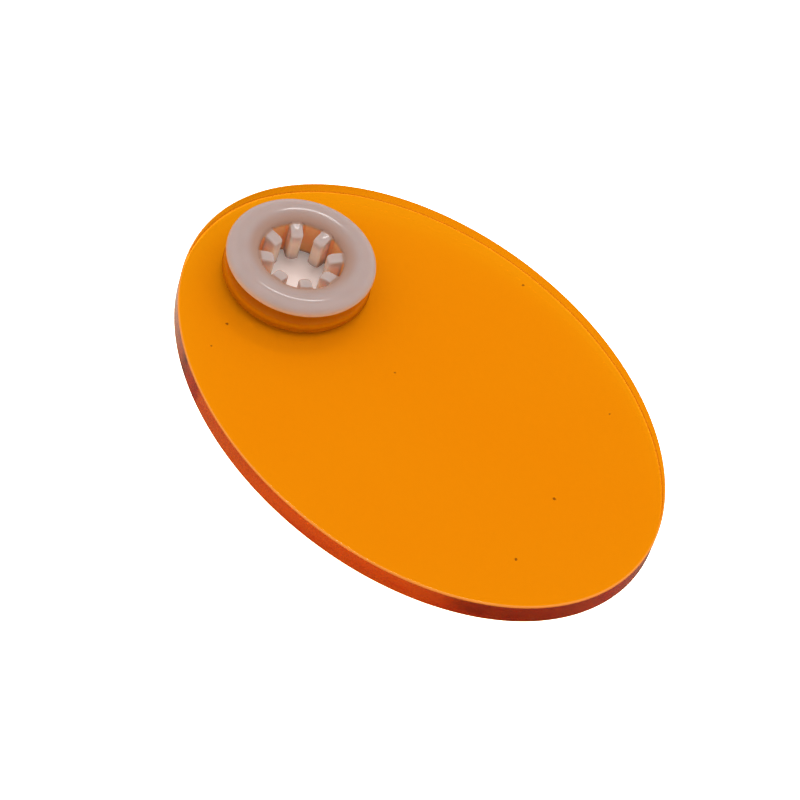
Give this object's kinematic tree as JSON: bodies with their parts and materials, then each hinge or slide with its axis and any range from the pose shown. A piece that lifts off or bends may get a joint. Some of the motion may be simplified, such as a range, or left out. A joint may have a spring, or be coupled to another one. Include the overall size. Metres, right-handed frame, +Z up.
{
  "type": "light guide eye shield",
  "caption": "Oval tinted clear plate with a soft finger collar near one end, which grips a round light guide and lets the plate swivel about it.",
  "frame": {"origin": "centre of the plate's outline in plan, at the height of the underside of the collar's lower flange", "axes": "+X along the plate's long axis and away from the collar, +Y across the plate, +Z up through the plate's thickness"},
  "size_m": [0.08, 0.0588, 0.0075],
  "materials": {
    "milky_silicone": "satin, slightly translucent",
    "orange_acrylic": "polished, transparent orange tint"
  },
  "bodies": {
    "collar": {"finger_collar": "milky_silicone"},
    "shield": {"shield_plate": "orange_acrylic"}
  },
  "joints": [
    {"name": "shield_swivel", "type": "hinge", "parent": "collar", "child": "shield", "pos_m": [-0.0265, 0, 0.00375], "axis": [0, 0, 1], "continuous": true}
  ]
}
